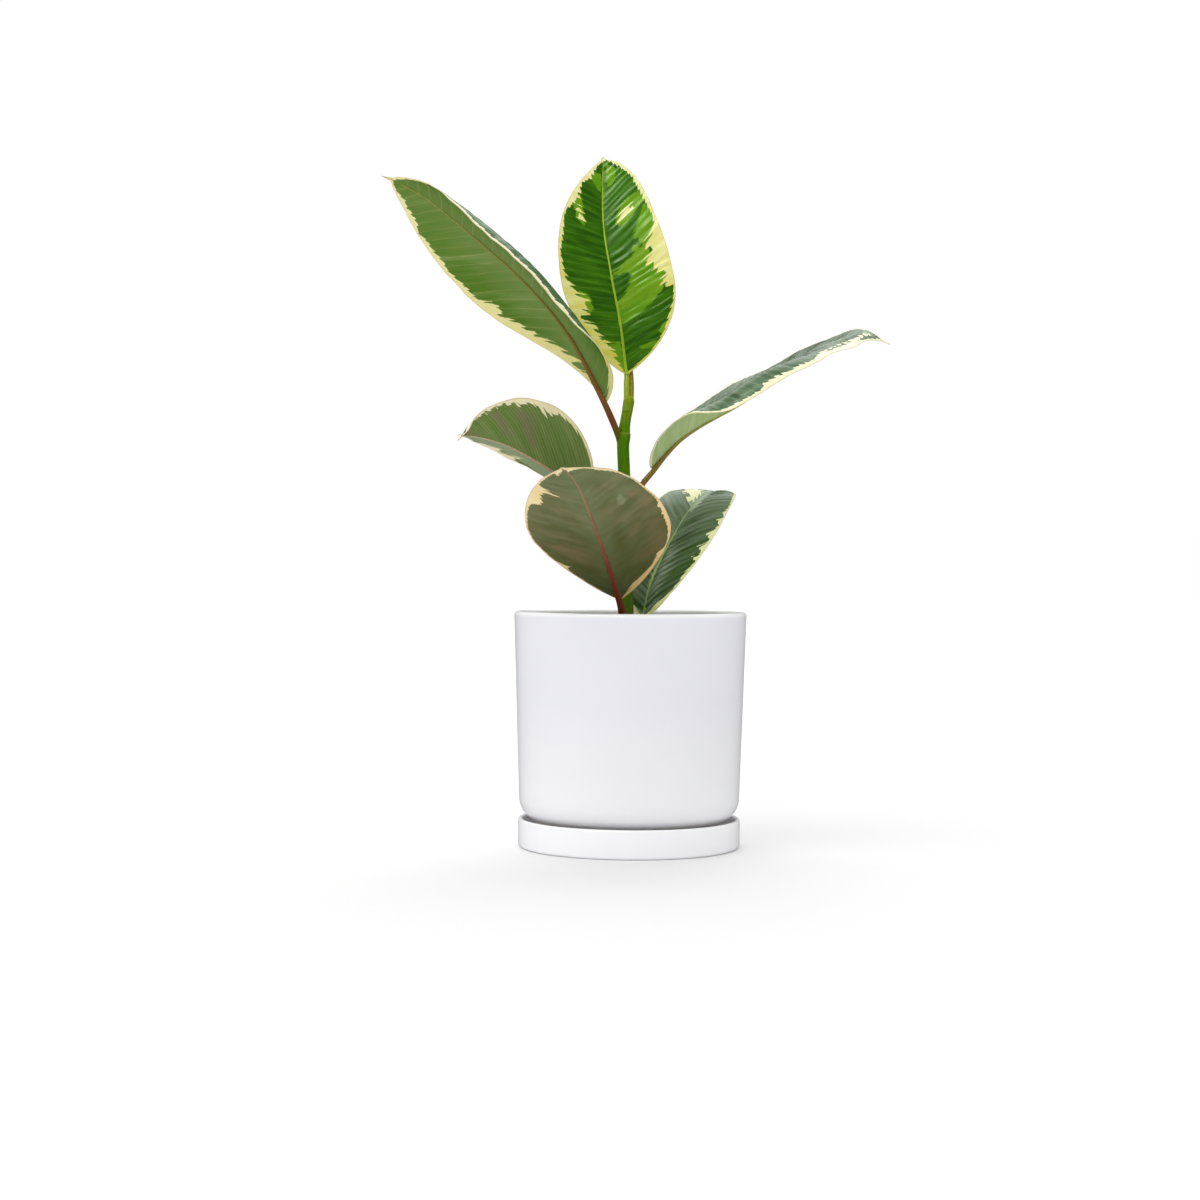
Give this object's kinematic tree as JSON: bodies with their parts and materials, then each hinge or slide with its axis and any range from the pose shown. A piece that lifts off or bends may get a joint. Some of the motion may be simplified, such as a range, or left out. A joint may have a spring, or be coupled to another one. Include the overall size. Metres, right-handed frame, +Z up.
{
  "type": "potted rubber plant",
  "caption": "Young variegated rubber plant, its broad leathery cream-edged leaves on an upright stem, in a glazed cylinder pot that stands in a matching saucer.",
  "frame": {"origin": "centre of the saucer's flat underside, on the pot's own axis", "axes": "+Z up along the pot's axis and the stem, -Y towards the front, +X to the right as the front is seen"},
  "size_m": [0.3652, 0.2564, 0.5126],
  "materials": {
    "saucer_glaze": "gloss",
    "pot_glaze": "gloss",
    "potting_mix": "matte",
    "stem_skin": "satin",
    "sheath_skin": "satin",
    "leaf_top": "gloss",
    "leaf_upper_left": "satin",
    "leaf_mid_left": "satin",
    "leaf_right": "satin",
    "leaf_front": "satin",
    "leaf_lower_right": "gloss",
    "petiole_top": "satin",
    "petiole_upper_left": "satin",
    "petiole_mid_left": "satin",
    "petiole_right": "satin",
    "petiole_front": "satin",
    "petiole_lower_right": "satin"
  },
  "bodies": {
    "root": {"saucer": "saucer_glaze", "pot": "pot_glaze", "soil": "potting_mix", "stem": "stem_skin", "bud_sheath": "sheath_skin", "leaf_top": "leaf_top", "leaf_upper_left": "leaf_upper_left", "leaf_mid_left": "leaf_mid_left", "leaf_right": "leaf_right", "leaf_front": "leaf_front", "leaf_lower_right": "leaf_lower_right", "petiole_top": "petiole_top", "petiole_upper_left": "petiole_upper_left", "petiole_mid_left": "petiole_mid_left", "petiole_right": "petiole_right", "petiole_front": "petiole_front", "petiole_lower_right": "petiole_lower_right"}
  },
  "joints": []
}
